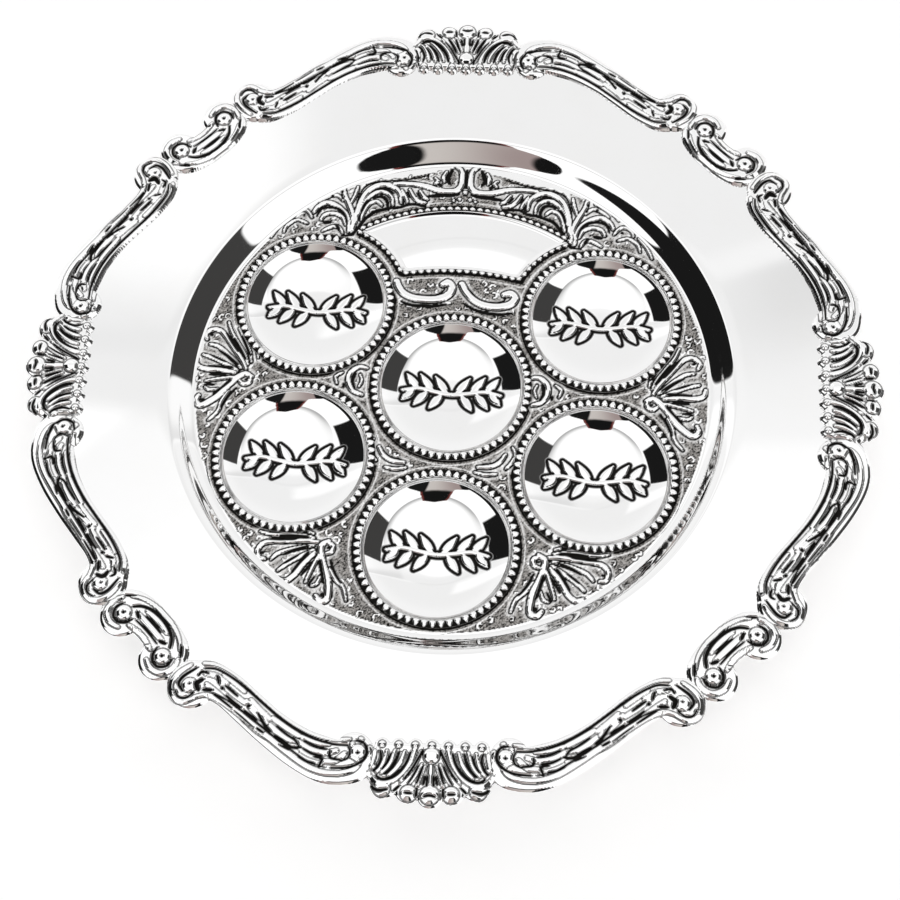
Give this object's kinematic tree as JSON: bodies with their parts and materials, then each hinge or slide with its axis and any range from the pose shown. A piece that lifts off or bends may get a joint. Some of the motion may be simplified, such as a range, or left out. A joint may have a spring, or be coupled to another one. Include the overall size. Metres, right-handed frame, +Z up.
{
  "type": "seder plate",
  "caption": "Round silvered ritual tray with a shell and scroll border and a chased sunk centre that carries round food cups and a crescent pan.",
  "frame": {"origin": "middle of the resting face of the foot ring, on the table", "axes": "+Z up out of the food cups; +Y towards the crescent pan's side of the border, through a shell; +X to the right"},
  "size_m": [0.4, 0.4, 0.0263],
  "materials": {
    "polished_silver": "mirror polish",
    "foot_silver": "polished",
    "chased_silver": "chased, matted and darkened ground with bright relief",
    "cup_silver": "mirror polish",
    "collar_silver": "bright gadroons with darkened grooves",
    "border_silver": "bright cast relief with darkened grooves"
  },
  "bodies": {
    "root": {"tray_body": "polished_silver", "foot_ring": "foot_silver", "centre_plate": "chased_silver", "crescent_pan": "cup_silver", "crescent_beading": "collar_silver", "maror_cup": "cup_silver", "egg_cup": "cup_silver", "shank_bone_cup": "cup_silver", "karpas_cup": "cup_silver", "charoset_cup": "cup_silver", "chazeret_cup": "cup_silver", "maror_collar": "collar_silver", "egg_collar": "collar_silver", "shank_bone_collar": "collar_silver", "karpas_collar": "collar_silver", "charoset_collar": "collar_silver", "chazeret_collar": "collar_silver", "border_shell_1": "border_silver", "border_shell_2": "border_silver", "border_shell_3": "border_silver", "border_shell_4": "border_silver", "border_short_scroll_1": "border_silver", "border_short_scroll_2": "border_silver", "border_short_scroll_3": "border_silver", "border_short_scroll_4": "border_silver", "border_long_scroll_1": "border_silver", "border_long_scroll_2": "border_silver", "border_long_scroll_3": "border_silver", "border_long_scroll_4": "border_silver", "border_long_scroll_5": "border_silver", "border_long_scroll_6": "border_silver", "border_long_scroll_7": "border_silver", "border_long_scroll_8": "border_silver"}
  },
  "joints": []
}
